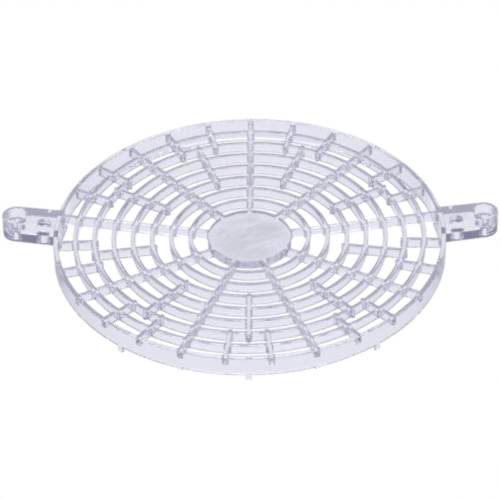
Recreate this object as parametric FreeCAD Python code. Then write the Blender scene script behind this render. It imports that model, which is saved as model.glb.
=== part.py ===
import FreeCAD, Part
import math
import os

# Fan guard moulded in one piece from clear plastic: a round grille of seven rings
# and nine spokes round a solid hub disc, inside a deep rim with two screw ears.
# Sizes are millimetres and degrees. The origin is on the guard's axis, in the plane
# that the peg tips and the undersides of the ears share, with +Z towards the grille.

# Rim and grille
rim_outer_diameter = 220.0
rim_wall = 2.8
rim_height = 11.8
rim_edge_chamfer = 0.5
grille_depth = 5.8
hub_diameter = 47.0
ring_count = 7
ring_thickness = 2.4
rib_thickness = 2.4

# Ribs: full spokes, and between two of them, counted in gaps from the hub, first no
# ribs, then one mid rib, and from there to the rim a pair of short ribs
spoke_count = 9
plain_gap_count = 3
mid_rib_gap_count = 3
short_rib_spread_angle = 13.3
rib_overhang = 1.2

# Pegs under the rim: long between the spokes, short below them
peg_width = 3.3
peg_length = 4.5
peg_setback = 1.0
peg_tip_chamfer = 0.4
short_peg_width = 2.8
short_peg_length = 2.0

# Screw ears, in line with each other below the spokes' centre line
ear_screw_radius = 134.3
ear_angle = 10.0
ear_width = 16.0
ear_height = 13.3
ear_edge_chamfer = 0.4
counterbore_diameter = 12.0
counterbore_depth = 6.0
screw_hole_diameter = 6.2
ear_core_diameter = 7.6
ear_core_depth = 4.5
ear_core_radius = 118.3

# Places that follow from the sizes above
rim_outer = rim_outer_diameter / 2
rim_inner = rim_outer - rim_wall
hub_radius = hub_diameter / 2
half_rib = rib_thickness / 2
rim_bottom = peg_length
grille_top = rim_bottom + rim_height
grille_bottom = grille_top - grille_depth
ring_gap = (rim_inner - hub_radius - ring_count * ring_thickness) / (ring_count + 1)
spoke_pitch = 360.0 / spoke_count
up = FreeCAD.Vector(0, 0, 1)
axis_point = FreeCAD.Vector(0, 0, 0)
cut_margin = 1.0
peg_root = 0.5


def ring_inner(number):
    """Inner radius of a ring counted from the hub; the one past the last is the rim."""
    return hub_radius + number * ring_gap + (number - 1) * ring_thickness


def ring_outer(number):
    """Outer radius of a ring counted from the hub; number 0 is the hub itself."""
    return hub_radius + number * (ring_gap + ring_thickness)


def polar(radius, angle, height=0.0):
    turn = math.radians(angle)
    return FreeCAD.Vector(radius * math.cos(turn), radius * math.sin(turn), height)


def on_rib_side(angle, along, side):
    """Point on a rib's flat side, at a distance along the rib from the guard's axis."""
    return polar(along, angle) + polar(side * half_rib, angle + 90)


def beside_rib(radius, angle, side):
    """Point on a circle where the flat side of a rib crosses it."""
    return on_rib_side(angle, math.sqrt(radius ** 2 - half_rib ** 2), side)


def rib_angles(gap):
    """Ribs that cross a gap between two rings, within one spoke pitch from angle 0."""
    angles = [0.0]
    short_rib_gap = plain_gap_count + mid_rib_gap_count
    if plain_gap_count <= gap < short_rib_gap:
        angles.append(spoke_pitch / 2)
    if gap >= short_rib_gap:
        angles.append(spoke_pitch / 2 - short_rib_spread_angle / 2)
        angles.append(spoke_pitch / 2 + short_rib_spread_angle / 2)
    return angles + [spoke_pitch]


def ring_side(radius, tip, first, last, next_gap, this_gap):
    """Edge of an opening along a ring, round the free ends of ribs that stop at it."""
    ends = [angle for angle in rib_angles(next_gap)
            if first < angle < last and angle not in rib_angles(this_gap)]
    edges = []
    for start, stop in zip([first] + ends, ends + [last]):
        near, far = beside_rib(radius, start, 1), beside_rib(radius, stop, -1)
        edges.append(Part.Arc(near, (near + far).normalize() * radius, far).toShape())
    for angle in ends:
        corners = [beside_rib(radius, angle, -1), on_rib_side(angle, tip, -1),
                   on_rib_side(angle, tip, 1), beside_rib(radius, angle, 1)]
        edges += Part.makePolygon(corners).Edges
    return edges


def cell(gap, first, last):
    """One opening of the grille, between two rings and two ribs, as a cutting prism."""
    near, far = ring_outer(gap), ring_inner(gap + 1)
    edges = ring_side(near, near + rib_overhang, first, last, gap - 1, gap)
    edges += ring_side(far, far - rib_overhang, first, last, gap + 1, gap)
    edges.append(Part.makeLine(beside_rib(near, first, 1), beside_rib(far, first, 1)))
    edges.append(Part.makeLine(beside_rib(near, last, -1), beside_rib(far, last, -1)))
    face = Part.Face(Part.Wire(Part.__sortEdges__(edges)))
    face.translate(up * grille_bottom)
    return face.extrude(up * (grille_depth + cut_margin))


def make_cells():
    """Openings of one sector between two spokes, copied at every spoke; one points to +Y."""
    sector = []
    for gap in range(ring_count + 1):
        angles = rib_angles(gap)
        sector += [cell(gap, first, last) for first, last in zip(angles, angles[1:])]
    cells = []
    for number in range(spoke_count):
        for opening in sector:
            turned = opening.copy()
            turned.rotate(axis_point, up, 90 + number * spoke_pitch)
            cells.append(turned)
    return cells


def make_blank():
    """Solid round body of the guard, before it is hollowed and pierced."""
    blank = Part.makeCylinder(rim_outer, rim_height, FreeCAD.Vector(0, 0, rim_bottom))
    circles = [edge for edge in blank.Edges if edge.Curve.TypeId == "Part::GeomCircle"]
    return blank.makeChamfer(rim_edge_chamfer, circles)


def peg(width, length, angle):
    """Flat tab under the rim with a bevelled tip; its inner side is trimmed with the hollow."""
    inner = rim_inner - peg_root
    corner = FreeCAD.Vector(inner, -width / 2, rim_bottom - length)
    tab = Part.makeBox(rim_outer - peg_setback - inner, width, length + peg_root, corner)
    tip = [edge for edge in tab.Edges if edge.BoundBox.ZMax < rim_bottom - length / 2]
    tab = tab.makeChamfer(peg_tip_chamfer, tip)
    tab.rotate(axis_point, up, angle)
    return tab


def make_pegs():
    pegs = []
    for number in range(spoke_count):
        spoke_angle = 90 + number * spoke_pitch
        pegs.append(peg(short_peg_width, short_peg_length, spoke_angle))
        pegs.append(peg(peg_width, peg_length, spoke_angle + spoke_pitch / 2))
    return pegs


def make_ear(angle):
    """Solid arm with a round end, counterbored from above for a screw."""
    start = rim_inner - ear_width
    half = ear_width / 2
    round_end = Part.Arc(FreeCAD.Vector(ear_screw_radius, -half, 0),
                         FreeCAD.Vector(ear_screw_radius + half, 0, 0),
                         FreeCAD.Vector(ear_screw_radius, half, 0)).toShape()
    straight_sides = Part.makePolygon([
        FreeCAD.Vector(ear_screw_radius, half, 0), FreeCAD.Vector(start, half, 0),
        FreeCAD.Vector(start, -half, 0), FreeCAD.Vector(ear_screw_radius, -half, 0)])
    outline = [round_end] + straight_sides.Edges
    arm = Part.Face(Part.Wire(outline)).extrude(up * ear_height)
    level = [edge for edge in arm.Edges if edge.BoundBox.ZLength < 1e-6]
    arm = arm.makeChamfer(ear_edge_chamfer, level)
    arm.rotate(axis_point, up, angle)
    return arm


def ear_holes(angle):
    """Screw hole, counterbore and blind core hole of one ear."""
    through = Part.makeCylinder(screw_hole_diameter / 2, ear_height + 2 * cut_margin,
                                polar(ear_screw_radius, angle, -cut_margin))
    counterbore = Part.makeCylinder(counterbore_diameter / 2, counterbore_depth + cut_margin,
                                    polar(ear_screw_radius, angle, ear_height - counterbore_depth))
    core = Part.makeCylinder(ear_core_diameter / 2, ear_core_depth + cut_margin,
                             polar(ear_core_radius, angle, -cut_margin))
    return [through, counterbore, core]


def make_guard():
    ear_angles = [ear_angle, 180 - ear_angle]
    guard = make_blank().fuse([make_ear(angle) for angle in ear_angles] + make_pegs())
    hollow = Part.makeCylinder(rim_inner, grille_bottom + cut_margin, FreeCAD.Vector(0, 0, -cut_margin))
    guard = guard.cut([hollow] + ear_holes(ear_angles[0]) + ear_holes(ear_angles[1]))
    return guard.cut(make_cells())


guard = make_guard()
os.makedirs("parts", exist_ok=True)
guard.exportStep("parts/fan_guard.step")
print("fan_guard", len(guard.Solids), "solid, valid", guard.isValid(), "volume", round(guard.Volume))
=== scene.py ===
import bmesh
import bpy
from math import acos, asin, atan2, ceil, cos, pi, radians, sin, sqrt
from mathutils import Matrix, Vector


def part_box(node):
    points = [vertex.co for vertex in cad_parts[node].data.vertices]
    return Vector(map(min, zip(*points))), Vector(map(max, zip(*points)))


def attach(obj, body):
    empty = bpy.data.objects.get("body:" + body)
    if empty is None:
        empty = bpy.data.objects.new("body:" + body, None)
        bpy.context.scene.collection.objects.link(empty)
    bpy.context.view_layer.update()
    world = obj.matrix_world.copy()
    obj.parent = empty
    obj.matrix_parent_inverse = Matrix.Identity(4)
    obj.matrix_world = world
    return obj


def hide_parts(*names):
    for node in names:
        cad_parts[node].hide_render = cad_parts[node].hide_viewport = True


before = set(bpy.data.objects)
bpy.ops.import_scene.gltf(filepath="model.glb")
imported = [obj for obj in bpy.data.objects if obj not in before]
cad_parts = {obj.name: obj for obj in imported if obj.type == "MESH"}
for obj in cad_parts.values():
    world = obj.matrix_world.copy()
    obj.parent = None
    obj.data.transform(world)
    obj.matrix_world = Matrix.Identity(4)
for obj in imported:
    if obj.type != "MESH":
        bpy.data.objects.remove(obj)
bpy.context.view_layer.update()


# The photographer's view: a long lens from well back, looking down on the guard from
# the front, a hair to the right of a spoke, with the camera leaning a little.
camera_distance = 2.0
camera_elevation = radians(37.6)
camera_azimuth = radians(-88.95)
camera_lean = radians(-1.15)
photo_side = 500
photo_scale = 1786.5
grille_centre_in_photo = (249.52, 233.5)
aim = Vector((0, 0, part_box("fan_guard")[1].z))

camera_data = bpy.data.cameras.new("camera")
camera = bpy.data.objects.new("camera", camera_data)
bpy.context.scene.collection.objects.link(camera)
bpy.context.scene.camera = camera
camera_data.sensor_width = 36.0
camera_data.lens = camera_data.sensor_width * photo_scale * camera_distance / photo_side
camera_data.shift_x = (photo_side / 2 - grille_centre_in_photo[0]) / photo_side
camera_data.shift_y = (grille_centre_in_photo[1] - photo_side / 2) / photo_side
camera_data.clip_end = 100.0
level = cos(camera_elevation)
backwards = Vector((cos(camera_azimuth) * level, sin(camera_azimuth) * level, sin(camera_elevation)))
upright = (-backwards).to_track_quat("-Z", "Y").to_matrix().to_4x4()
camera.matrix_world = (Matrix.Translation(aim + backwards * camera_distance) @ upright
                       @ Matrix.Rotation(camera_lean, 4, "Z"))


# Grille and rim: one ninth of the moulding, from the middle of one spoke to the middle
# of the next. The openings' walls are lofted from their outlines, with the soft edges
# that a polished mould leaves, and the flats between them are filled.
spokes = 9
rings = 7
plain_gaps = 3
mid_rib_gaps = 3
short_rib_spread = radians(13.3)
rim_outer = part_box("fan_guard")[1].y
rim_wall = 0.0028
rim_inner = rim_outer - rim_wall
rim_bottom = 0.0045
hub_radius = 0.0235
grille_depth = 0.0058
grille_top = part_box("fan_guard")[1].z
grille_bottom = grille_top - grille_depth
ring_thickness = 0.0024
half_rib = 0.0012
ring_gap = (rim_inner - hub_radius - rings * ring_thickness) / (rings + 1)
sector_angle = 2 * pi / spokes
corner_radius = 0.0009
rib_overhang = 0.0012
rib_end_radius = 0.00095
rib_root_radius = 0.00025
top_edge_radius = 0.0006
bottom_edge_radius = 0.0004
rim_edge_radius = 0.0006
dish_depth = 0.00105
edge_steps = 4
bottom_edge_steps = 2
corner_steps = 4
arc_error = 0.00002
weld_distance = 0.000002


def arc_steps(radius, sweep):
    """How many straight steps keep an arc within the arc error."""
    return max(1, ceil(abs(sweep) / (2 * acos(1 - arc_error / radius))))


def arc(turn, centre, radius, start, stop, hollow=True, steps=corner_steps):
    """Points of an arc, given along and across a rib that is turned from the first spoke.
    Each comes with the way from the opening into the plastic."""
    spin = Matrix.Rotation(turn, 2)
    points = []
    for step in range(steps + 1):
        angle = start + (stop - start) * step / steps
        way = Vector((cos(angle), sin(angle)))
        point = Vector(centre) + way * radius
        into = way if hollow else -way
        points.append((spin @ point, spin @ into))
    return points


def ring_arc(radius, start, stop, outwards):
    """Stretch of an opening's edge that follows a ring."""
    return arc(0, (0, 0), radius, start, stop, outwards, arc_steps(radius, stop - start))


def root(radius, corner, side):
    """Where a rib leaves a ring: the rounding's middle along and across the rib, and the
    angle that it stands off the rib. A positive side is the opening beyond the ring."""
    across = half_rib + corner
    along = sqrt((radius + side * corner) ** 2 - across ** 2)
    return along, across, atan2(across, along)


def far_side(radius, first, last, ends):
    """Outer edge of an opening, anticlockwise, round the ends of ribs that poke in."""
    along, across, off = root(radius, corner_radius, -1)
    points = arc(first, (along, across), corner_radius, -pi / 2, off)
    here = first + off
    low, low_across, low_off = root(radius, rib_root_radius, -1)
    tip = radius - rib_overhang + rib_end_radius
    round_across = half_rib - rib_end_radius
    for end in ends:
        points += ring_arc(radius, here, end - low_off, True)
        points += arc(end, (low, -low_across), rib_root_radius, -low_off, pi / 2)
        points += arc(end, (tip, -round_across), rib_end_radius, -pi / 2, -pi, False)
        points += arc(end, (tip, round_across), rib_end_radius, pi, pi / 2, False)
        points += arc(end, (low, low_across), rib_root_radius, -pi / 2, low_off)
        here = end + low_off
    points += ring_arc(radius, here, last - off, True)
    return points + arc(last, (along, -across), corner_radius, -off, pi / 2)


def near_side(radius, first, last, ends):
    """Inner edge of an opening, on from the far side, back to the first rib."""
    along, across, off = root(radius, corner_radius, 1)
    points = arc(last, (along, -across), corner_radius, pi / 2, pi - off)
    here = last - off
    low, low_across, low_off = root(radius, rib_root_radius, 1)
    tip = radius + rib_overhang - rib_end_radius
    round_across = half_rib - rib_end_radius
    for end in reversed(ends):
        points += ring_arc(radius, here, end + low_off, False)
        points += arc(end, (low, low_across), rib_root_radius, pi + low_off, 3 * pi / 2)
        points += arc(end, (tip, round_across), rib_end_radius, pi / 2, 0, False)
        points += arc(end, (tip, -round_across), rib_end_radius, 0, -pi / 2, False)
        points += arc(end, (low, -low_across), rib_root_radius, pi / 2, pi - low_off)
        here = end - low_off
    points += ring_arc(radius, here, first + off, False)
    return points + arc(first, (along, across), corner_radius, pi + off, 3 * pi / 2)


def ribs_across(gap):
    """Angles of the ribs that cross a gap between two rings, spoke to spoke."""
    middle = sector_angle / 2
    if gap < plain_gaps:
        between = []
    elif gap < plain_gaps + mid_rib_gaps:
        between = [middle]
    else:
        between = [middle - short_rib_spread / 2, middle + short_rib_spread / 2]
    return [0.0] + between + [sector_angle]


def without_doubles(points):
    """Points of an outline, less those that fall on the point before."""
    return [point for point, before in zip(points, points[-1:] + points[:-1])
            if (point[0] - before[0]).length > weld_distance]


def opening_outlines():
    """Outline of each opening of one ninth, from the hub outwards."""
    outlines = []
    for gap in range(rings + 1):
        near = hub_radius + gap * (ring_gap + ring_thickness)
        far = near + ring_gap
        ribs = ribs_across(gap)
        for first, last in zip(ribs, ribs[1:]):
            stop_near = [a for a in ribs_across(gap - 1) if first < a < last and a not in ribs]
            stop_far = [a for a in ribs_across(min(gap + 1, rings)) if first < a < last and a not in ribs]
            points = far_side(far, first, last, stop_far) + near_side(near, first, last, stop_near)
            outlines.append(without_doubles(points))
    return outlines


def edge_profile(radius, steps=edge_steps):
    """Quarter round of an edge as steps (back from the side, down from the flat)."""
    turns = [step * pi / 2 / steps for step in range(steps + 1)]
    return [(radius * (1 - sin(turn)), radius * (1 - cos(turn))) for turn in turns]


def wall_levels(top, top_radius, bottom, bottom_radius, bottom_steps=edge_steps):
    """Steps down a wall, from the round of its top edge to the round of its bottom edge."""
    levels = [(back, top - down) for back, down in edge_profile(top_radius)]
    return levels + [(back, bottom + up)
                     for back, up in reversed(edge_profile(bottom_radius, bottom_steps))]


def strip(mesh, upper, lower, closed=True):
    """Band of faces between two rows of as many corners."""
    pairs = list(zip(upper, lower))
    following = pairs[1:] + (pairs[:1] if closed else [])
    for (above, below), (next_above, next_below) in zip(pairs, following):
        mesh.faces.new((above, below, next_below, next_above))


def row(mesh, places):
    return [mesh.verts.new(place) for place in places]


def loft(mesh, outline, levels):
    """Wall along an outline, moved into the plastic as each level says."""
    rows = []
    for back, height in levels:
        places = [point + into * back for point, into in outline]
        rows.append(row(mesh, [(place.x, place.y, height) for place in places]))
    for upper, lower in zip(rows, rows[1:]):
        strip(mesh, upper, lower)
    return rows


def fill_flat(mesh, height):
    """Flat face at a height, between the walls that end there."""
    rim = [edge for edge in mesh.edges if len(edge.link_faces) < 2
           and all(abs(corner.co.z - height) < weld_distance for corner in edge.verts)]
    bmesh.ops.triangle_fill(mesh, use_beauty=True, use_dissolve=False, edges=rim)


def edges_along(mesh, corners):
    """Edges from corner to corner, where there are none yet."""
    for pair in zip(corners, corners[1:]):
        if mesh.edges.get(pair) is None:
            mesh.edges.new(pair)


def rim_profile():
    """Places across the rim, from the grille's underside down its inside and up its outside."""
    places = [(rim_inner, grille_bottom)]
    places += [(rim_inner + back, rim_bottom + up)
               for back, up in reversed(edge_profile(bottom_edge_radius, bottom_edge_steps))]
    places += [(rim_outer - back, rim_bottom + up) for back, up in edge_profile(rim_edge_radius)]
    return places + [(rim_outer - back, grille_top - down)
                     for back, down in reversed(edge_profile(rim_edge_radius))]


def make_sector():
    """Mesh of one ninth, open where it meets its neighbours in the spokes' middles. It sinks
    a little from the rim to the hub, as a flat moulding does when it cools."""
    mesh = bmesh.new()
    levels = wall_levels(grille_top, top_edge_radius, grille_bottom, bottom_edge_radius,
                         bottom_edge_steps)
    stations = set(ribs_across(rings))
    for outline in opening_outlines():
        rows = loft(mesh, outline, levels)
        for corner in sum(rows[edge_steps + 1:], []):
            if corner.co.xy.length > rim_inner - weld_distance:
                corner.co.xy = corner.co.xy.normalized() * rim_inner
        stations.update(atan2(corner.co.y, corner.co.x) for corner in rows[-1]
                        if abs(corner.co.xy.length - rim_inner) < weld_distance)
    profile = rim_profile()
    columns = []
    for angle in sorted(stations):
        columns.append(row(mesh, [(r * cos(angle), r * sin(angle), z) for r, z in profile]))
    for left, right in zip(columns, columns[1:]):
        strip(mesh, left, right, closed=False)
    for end, height in ((-1, grille_top), (0, grille_bottom)):
        middle = mesh.verts.new((0, 0, height))
        edges_along(mesh, [middle] + [column[end] for column in columns] + [middle])
    bmesh.ops.remove_doubles(mesh, verts=mesh.verts, dist=weld_distance)
    fill_flat(mesh, grille_top)
    fill_flat(mesh, grille_bottom)
    for corner in mesh.verts:
        corner.co.z -= dish_depth * max(0, 1 - (corner.co.xy.length / rim_inner) ** 2)
    bmesh.ops.recalc_face_normals(mesh, faces=mesh.faces)
    return mesh


# Pegs: small tabs under the rim, long ones between the spokes and short ones below them,
# moulded with it. Their roots stand inside the rim's wall and their tips are rounded.
peg_width = 0.0033
peg_length = 0.0045
peg_setback = 0.0010
short_peg_width = 0.0028
short_peg_length = 0.0020
peg_edge_radius = 0.0004
peg_edge_steps = 3
peg_root = 0.0005
root_cover = 0.00005


def make_peg(width, length):
    """One peg, on the side of the rim that faces +X."""
    mesh = bmesh.new()
    low = Vector((rim_inner + root_cover, -width / 2, rim_bottom - length))
    high = Vector((rim_outer - peg_setback, width / 2, rim_bottom + peg_root))
    place = Matrix.Translation((low + high) / 2) @ Matrix.Diagonal(high - low).to_4x4()
    bmesh.ops.create_cube(mesh, size=1.0, matrix=place)
    bmesh.ops.bevel(mesh, geom=mesh.edges, offset=peg_edge_radius, segments=peg_edge_steps,
                    profile=0.5, affect="EDGES")
    return mesh


# Screw ears: two arms with round ends, each counterbored from above for a screw head and
# cored from below near the rim so that the thick plastic doesn't sink as it cools. They
# are a hair narrower than in the CAD model, whose mesh has facets for the round ends.
ears = 2
ear_screw_radius = 0.1343
ear_angle = radians(10.0)
facet_clearance = 0.00001
ear_half_width = 0.0080 - facet_clearance
ear_height = 0.0133
ear_edge_radius = 0.0006
counterbore_radius = 0.0060
counterbore_depth = 0.0060
screw_hole_radius = 0.0031
ear_core_hole_radius = 0.0038
ear_core_depth = 0.0045
ear_core_place = 0.1183
hole_edge_radius = 0.0004
ear_corner_steps = 24


def circle(along, radius):
    """Round hole's edge in an ear, without a double where it closes."""
    return arc(0, (along, 0), radius, 0, 2 * pi, steps=2 * ear_corner_steps)[:-1]


def make_ear():
    """One ear along +X, from inside the rim's wall outwards."""
    mesh = bmesh.new()
    inner = rim_inner + root_cover / 2
    half_turn = asin(ear_half_width / inner)
    outline = arc(0, (ear_screw_radius, 0), ear_half_width, -pi / 2, pi / 2, False, ear_corner_steps)
    outline += arc(0, (0, 0), inner, half_turn, -half_turn)
    floor_height = ear_height - counterbore_depth
    loft(mesh, outline, wall_levels(ear_height, ear_edge_radius, 0, ear_edge_radius))
    loft(mesh, circle(ear_screw_radius, counterbore_radius),
         wall_levels(ear_height, hole_edge_radius, floor_height, -hole_edge_radius))
    loft(mesh, circle(ear_screw_radius, screw_hole_radius),
         wall_levels(floor_height, hole_edge_radius, 0, hole_edge_radius))
    loft(mesh, circle(ear_core_place, ear_core_hole_radius),
         wall_levels(ear_core_depth, -hole_edge_radius, 0, hole_edge_radius))
    for height in (ear_height, floor_height, ear_core_depth, 0):
        fill_flat(mesh, height)
    bmesh.ops.recalc_face_normals(mesh, faces=mesh.faces)
    return mesh


# Gate mark: the small round scar near the hub's middle where the plastic was let into the
# mould, a low ring with a dimple, sunk with the hub below the rim.
gate_place = (0.0001, 0.0044)
gate_profile = ((0.0017, -0.0006), (0.0017, 0.0), (0.0015, 0.0004), (0.0011, 0.0004), (0.0008, 0.0001))
gate_sides = 32


def make_gate_mark():
    """The scar, as rings of corners from its foot inside the hub up and over to its dimple."""
    mesh = bmesh.new()
    base = grille_top - dish_depth
    turns = [2 * pi * side / gate_sides for side in range(gate_sides)]
    rows = []
    for radius, height in gate_profile:
        rows.append(row(mesh, [(gate_place[0] + radius * cos(a), gate_place[1] + radius * sin(a),
                                base + height) for a in turns]))
    for upper, lower in zip(rows, rows[1:]):
        strip(mesh, upper, lower)
    mesh.faces.new(rows[0])
    mesh.faces.new(rows[-1])
    bmesh.ops.recalc_face_normals(mesh, faces=mesh.faces)
    return mesh


# Clear polycarbonate, injection moulded in one shot: glossy where the mould was polished,
# with the faintest waviness from flow and shrinkage, and tinted darker in stretched streaks
# over the hub.
plastic_tint = "#FBFBFD"
plastic_ior = 1.585
plastic_roughness = 0.04
wave_size = 0.009
wave_height = 0.00002
wave_detail = 1.0
# Darker tint over the hub: streak tones from noise, full inside one radius and gone past the next.
hub_streak_tones = ((0.3, "#DEDEE1"), (0.7, "#FCFCFF"))
hub_darkening_full = 0.0200
hub_darkening_end = 0.0285
streak_size = 0.009
streak_stretch = 3.0
streak_angle = radians(31)
streak_swirl = 1.2
streak_detail = 3.0


def linear(hex_colour):
    """Colour of a surface from its sRGB hex value."""
    channels = [int(hex_colour[place:place + 2], 16) / 255 for place in (1, 3, 5)]
    return [c / 12.92 if c <= 0.04045 else ((c + 0.055) / 1.055) ** 2.4 for c in channels] + [1.0]


def add_node(tree, kind, settings=None, inputs=None):
    """Node with its settings, and its inputs' values or the outputs that feed them."""
    node = tree.nodes.new(kind)
    for name, value in (settings or {}).items():
        setattr(node, name, value)
    for name, value in (inputs or {}).items():
        if isinstance(value, bpy.types.NodeSocket):
            tree.links.new(value, node.inputs[name])
        else:
            node.inputs[name].default_value = value
    return node


def empty_tree(owner):
    """Node tree of a material or a world, with nothing in it yet."""
    owner.use_nodes = True
    owner.node_tree.nodes.clear()
    return owner.node_tree


def tones_along(tree, value, reach, stops):
    """Colour that changes with a value from 0 to reach, through the tones given."""
    share = add_node(tree, "ShaderNodeMapRange", None, {"Value": value, "From Max": reach}).outputs[0]
    ramp = add_node(tree, "ShaderNodeValToRGB", None, {"Fac": share})
    elements = ramp.color_ramp.elements
    for element, (stop, tone) in zip(elements, (stops[0], stops[-1])):
        element.position = stop / reach
        element.color = linear(tone)
    for stop, tone in stops[1:-1]:
        elements.new(stop / reach).color = linear(tone)
    return ramp.outputs["Color"]


def step_between(tree, value, start, stop):
    """Smooth step from 0 at the start to 1 at the stop."""
    return add_node(tree, "ShaderNodeMapRange", {"interpolation_type": "SMOOTHSTEP"}, {
        "Value": value, "From Min": start, "From Max": stop}).outputs[0]


def darker_hub_streaks(tree, place):
    """Colour of the plastic: clear, and tinted darker in stretched, swirled streaks over the hub."""
    along_streaks = add_node(tree, "ShaderNodeMapping", {"vector_type": "TEXTURE"}, {
        "Vector": place, "Rotation": (0, 0, streak_angle), "Scale": (streak_stretch, 1, 1)}).outputs[0]
    streaks = add_node(tree, "ShaderNodeTexNoise", None, {
        "Vector": along_streaks, "Scale": 1 / streak_size, "Detail": streak_detail,
        "Distortion": streak_swirl}).outputs["Fac"]
    radius = add_node(tree, "ShaderNodeVectorMath", {"operation": "LENGTH"}, {0: place}).outputs["Value"]
    tint = add_node(tree, "ShaderNodeMix", {"data_type": "RGBA"}, {
        0: step_between(tree, radius, hub_darkening_full, hub_darkening_end),
        6: tones_along(tree, streaks, 1.0, hub_streak_tones), 7: linear(plastic_tint)})
    return tint.outputs[2]


def make_plastic():
    material = bpy.data.materials.new("clear_moulded_polycarbonate")
    tree = empty_tree(material)
    place = add_node(tree, "ShaderNodeTexCoord").outputs["Object"]
    waves = add_node(tree, "ShaderNodeTexNoise", None,
                     {"Vector": place, "Scale": 1 / wave_size, "Detail": wave_detail}).outputs["Fac"]
    relief = add_node(tree, "ShaderNodeBump", None,
                      {"Height": waves, "Distance": wave_height}).outputs["Normal"]
    body = add_node(tree, "ShaderNodeBsdfPrincipled", None, {
        "Base Color": darker_hub_streaks(tree, place), "Roughness": plastic_roughness, "IOR": plastic_ior,
        "Transmission Weight": 1.0, "Normal": relief}).outputs["BSDF"]
    see_through = add_node(tree, "ShaderNodeBsdfTransparent").outputs["BSDF"]
    shadow = add_node(tree, "ShaderNodeLightPath").outputs["Is Shadow Ray"]
    mixed = add_node(tree, "ShaderNodeMixShader", None, {0: shadow, 1: body, 2: see_through})
    add_node(tree, "ShaderNodeOutputMaterial", None, {"Surface": mixed.outputs[0]})
    return material


plastic = make_plastic()


# The moulding: ninths, pegs, ears and gate mark are set round the axis and joined into one
# closed skin, as they leave the mould, with the light running smoothly over its rounded edges.
first_spoke = pi / 2
smooth_angle = radians(35)
flat_face_weight = 90


def copies_tree():
    """Copies of a piece at even steps round the axis, welded where they meet."""
    tree = bpy.data.node_groups.new("copies_round_the_axis", "GeometryNodeTree")
    tree.interface.new_socket("Piece", in_out="INPUT", socket_type="NodeSocketGeometry")
    tree.interface.new_socket("Copies", in_out="INPUT", socket_type="NodeSocketInt")
    tree.interface.new_socket("First Angle", in_out="INPUT", socket_type="NodeSocketFloat")
    tree.interface.new_socket("Angle Step", in_out="INPUT", socket_type="NodeSocketFloat")
    tree.interface.new_socket("Weld Distance", in_out="INPUT", socket_type="NodeSocketFloat")
    tree.interface.new_socket("Plastic", in_out="INPUT", socket_type="NodeSocketMaterial")
    tree.interface.new_socket("Moulding", in_out="OUTPUT", socket_type="NodeSocketGeometry")
    given = add_node(tree, "NodeGroupInput").outputs
    number = add_node(tree, "GeometryNodeInputIndex").outputs["Index"]
    turn = add_node(tree, "ShaderNodeMath", {"operation": "MULTIPLY_ADD"},
                    {0: number, 1: given["Angle Step"], 2: given["First Angle"]}).outputs[0]
    turned = add_node(tree, "ShaderNodeCombineXYZ", None, {"Z": turn}).outputs[0]
    points = add_node(tree, "GeometryNodePoints", None, {"Count": given["Copies"]}).outputs[0]
    placed = add_node(tree, "GeometryNodeInstanceOnPoints", None, {
        "Points": points, "Instance": given["Piece"], "Rotation": turned}).outputs[0]
    solid = add_node(tree, "GeometryNodeRealizeInstances", None, {"Geometry": placed}).outputs[0]
    welded = add_node(tree, "GeometryNodeMergeByDistance", None, {
        "Geometry": solid, "Distance": given["Weld Distance"]}).outputs[0]
    finished = add_node(tree, "GeometryNodeSetMaterial", None, {
        "Geometry": welded, "Material": given["Plastic"]}).outputs[0]
    add_node(tree, "NodeGroupOutput", None, {"Moulding": finished})
    return tree


round_the_axis = copies_tree()


def settled(piece):
    """Mesh of a piece with its modifiers applied; they are taken off."""
    depsgraph = bpy.context.evaluated_depsgraph_get()
    mesh = bpy.data.meshes.new_from_object(piece.evaluated_get(depsgraph), depsgraph=depsgraph)
    piece.modifiers.clear()
    piece.data = mesh
    return mesh


def set_round(name, shape, copies, first, step):
    """Object with copies of a shape set round the axis."""
    mesh = bpy.data.meshes.new(name)
    shape.to_mesh(mesh)
    shape.free()
    piece = bpy.data.objects.new(name, mesh)
    bpy.context.scene.collection.objects.link(piece)
    modifier = piece.modifiers.new("copies", "NODES")
    modifier.node_group = round_the_axis
    values = {"Copies": copies, "First Angle": first, "Angle Step": step,
              "Weld Distance": weld_distance, "Plastic": plastic}
    for item in round_the_axis.interface.items_tree:
        if item.name in values:
            modifier[item.identifier] = values[item.name]
    settled(piece)
    return piece


guard = set_round("guard_moulding", make_sector(), spokes, first_spoke, sector_angle)
fixings = [
    set_round("long_pegs", make_peg(peg_width, peg_length), spokes,
              first_spoke + sector_angle / 2, sector_angle),
    set_round("short_pegs", make_peg(short_peg_width, short_peg_length), spokes,
              first_spoke, sector_angle),
    set_round("ears", make_ear(), ears, ear_angle, pi - 2 * ear_angle),
    set_round("gate_mark", make_gate_mark(), 1, 0.0, 0.0),
]
for fixing in fixings:
    joined = guard.modifiers.new(fixing.name, "BOOLEAN")
    joined.operation = "UNION"
    joined.solver = "MANIFOLD"
    joined.object = fixing
skin = settled(guard)
for fixing in fixings:
    bpy.data.objects.remove(fixing)
whole = bmesh.new()
whole.from_mesh(skin)
bmesh.ops.remove_doubles(whole, verts=whole.verts, dist=weld_distance)
bmesh.ops.dissolve_degenerate(whole, edges=whole.edges, dist=weld_distance)
bmesh.ops.recalc_face_normals(whole, faces=whole.faces)
whole.to_mesh(skin)
whole.free()
skin.shade_smooth()
skin.set_sharp_from_angle(angle=smooth_angle)
soft = guard.modifiers.new("even_light", "WEIGHTED_NORMAL")
soft.keep_sharp = True
soft.weight = flat_face_weight
settled(guard)
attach(guard, "root")
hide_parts("fan_guard")


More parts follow.
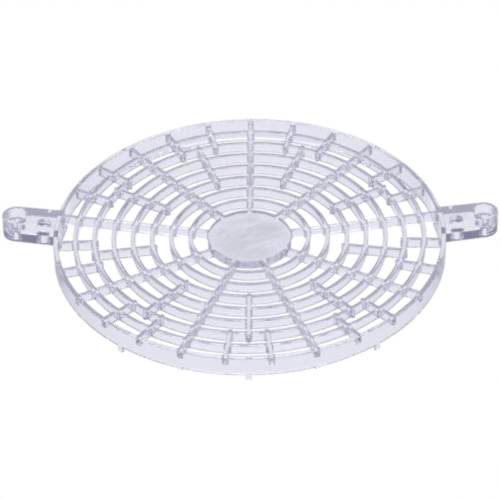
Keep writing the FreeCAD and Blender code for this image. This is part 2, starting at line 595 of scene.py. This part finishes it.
# Floor and light: white paper well below the guard, plain white where it is seen directly.
# To the plastic it is brightest in a strip behind the guard, softer all round and dim right
# under it, and a softbox glows overhead. Together they draw the greys of the clear edges.
paper_drop = 0.4
paper_size = 8.0
paper_glow = 1.4
paper_reach = 1.2
paper_round = ((0.15, "#434360"), (0.25, "#9797A7"), (0.9, "#9797A7"), (1.1, "#BCBCC5"))
paper_strip = ((0.9, "#CCCCD4"), (1.1, "#E9E9EC"))
strip_half_width = 0.25
strip_start = 0.2
strip_edge = 0.05
white = "#FFFFFF"
studio_tone = "#80809A"
softbox_glow = 2.12
softbox_start = 0.74
softbox_full = 0.79
photo_softness = 2.2
light_bounces = 40


def paper_material():
    """Light from the paper by its place, and plain white for what the eye sees directly."""
    paper = bpy.data.materials.new("lit_white_paper")
    tree = empty_tree(paper)
    place = add_node(tree, "ShaderNodeTexCoord").outputs["Object"]
    parts = add_node(tree, "ShaderNodeSeparateXYZ", None, {0: place}).outputs
    flat = add_node(tree, "ShaderNodeCombineXYZ", None, {"X": parts["X"], "Y": parts["Y"]}).outputs[0]
    radius = add_node(tree, "ShaderNodeVectorMath", {"operation": "LENGTH"}, {0: flat}).outputs["Value"]
    round_tone = tones_along(tree, radius, paper_reach, paper_round)
    strip_tone = tones_along(tree, radius, paper_reach, paper_strip)
    across = add_node(tree, "ShaderNodeMath", {"operation": "ABSOLUTE"}, {0: parts["X"]}).outputs[0]
    inside = step_between(tree, across, strip_half_width + strip_edge, strip_half_width - strip_edge)
    behind = step_between(tree, parts["Y"], strip_start - strip_edge, strip_start + strip_edge)
    on_strip = add_node(tree, "ShaderNodeMath", {"operation": "MULTIPLY"}, {0: inside, 1: behind}).outputs[0]
    tone = add_node(tree, "ShaderNodeMix", {"data_type": "RGBA"}, {
        0: on_strip, 6: round_tone, 7: strip_tone}).outputs[2]
    sent = add_node(tree, "ShaderNodeEmission", None, {"Color": tone, "Strength": paper_glow}).outputs[0]
    seen = add_node(tree, "ShaderNodeEmission", None, {"Color": linear(white)}).outputs[0]
    direct = add_node(tree, "ShaderNodeLightPath").outputs["Is Camera Ray"]
    mixed = add_node(tree, "ShaderNodeMixShader", None, {0: direct, 1: sent, 2: seen})
    add_node(tree, "ShaderNodeOutputMaterial", None, {"Surface": mixed.outputs[0]})
    return paper


def make_floor():
    mesh = bmesh.new()
    bmesh.ops.create_grid(mesh, x_segments=1, y_segments=1, size=paper_size / 2,
                          matrix=Matrix.Translation((0, 0, -paper_drop)))
    data = bpy.data.meshes.new("floor")
    mesh.to_mesh(data)
    mesh.free()
    floor = bpy.data.objects.new("floor", data)
    bpy.context.scene.collection.objects.link(floor)
    data.materials.append(paper_material())
    return floor


make_floor()

world = bpy.data.worlds.new("studio")
bpy.context.scene.world = world
sky = empty_tree(world)
direction = add_node(sky, "ShaderNodeTexCoord").outputs["Generated"]
height = add_node(sky, "ShaderNodeSeparateXYZ", None, {0: direction}).outputs["Z"]
studio = add_node(sky, "ShaderNodeBackground", None, {"Color": linear(studio_tone)}).outputs[0]
softbox = add_node(sky, "ShaderNodeBackground", None, {
    "Color": linear(white), "Strength": softbox_glow}).outputs[0]
overhead = step_between(sky, height, softbox_start, softbox_full)
lit = add_node(sky, "ShaderNodeMixShader", None, {0: overhead, 1: studio, 2: softbox}).outputs[0]
add_node(sky, "ShaderNodeOutputWorld", None, {"Surface": lit})

bpy.context.scene.view_settings.view_transform = "Standard"
tracing = bpy.context.scene.cycles
tracing.filter_width = photo_softness
tracing.max_bounces = light_bounces
tracing.transmission_bounces = light_bounces
tracing.glossy_bounces = light_bounces
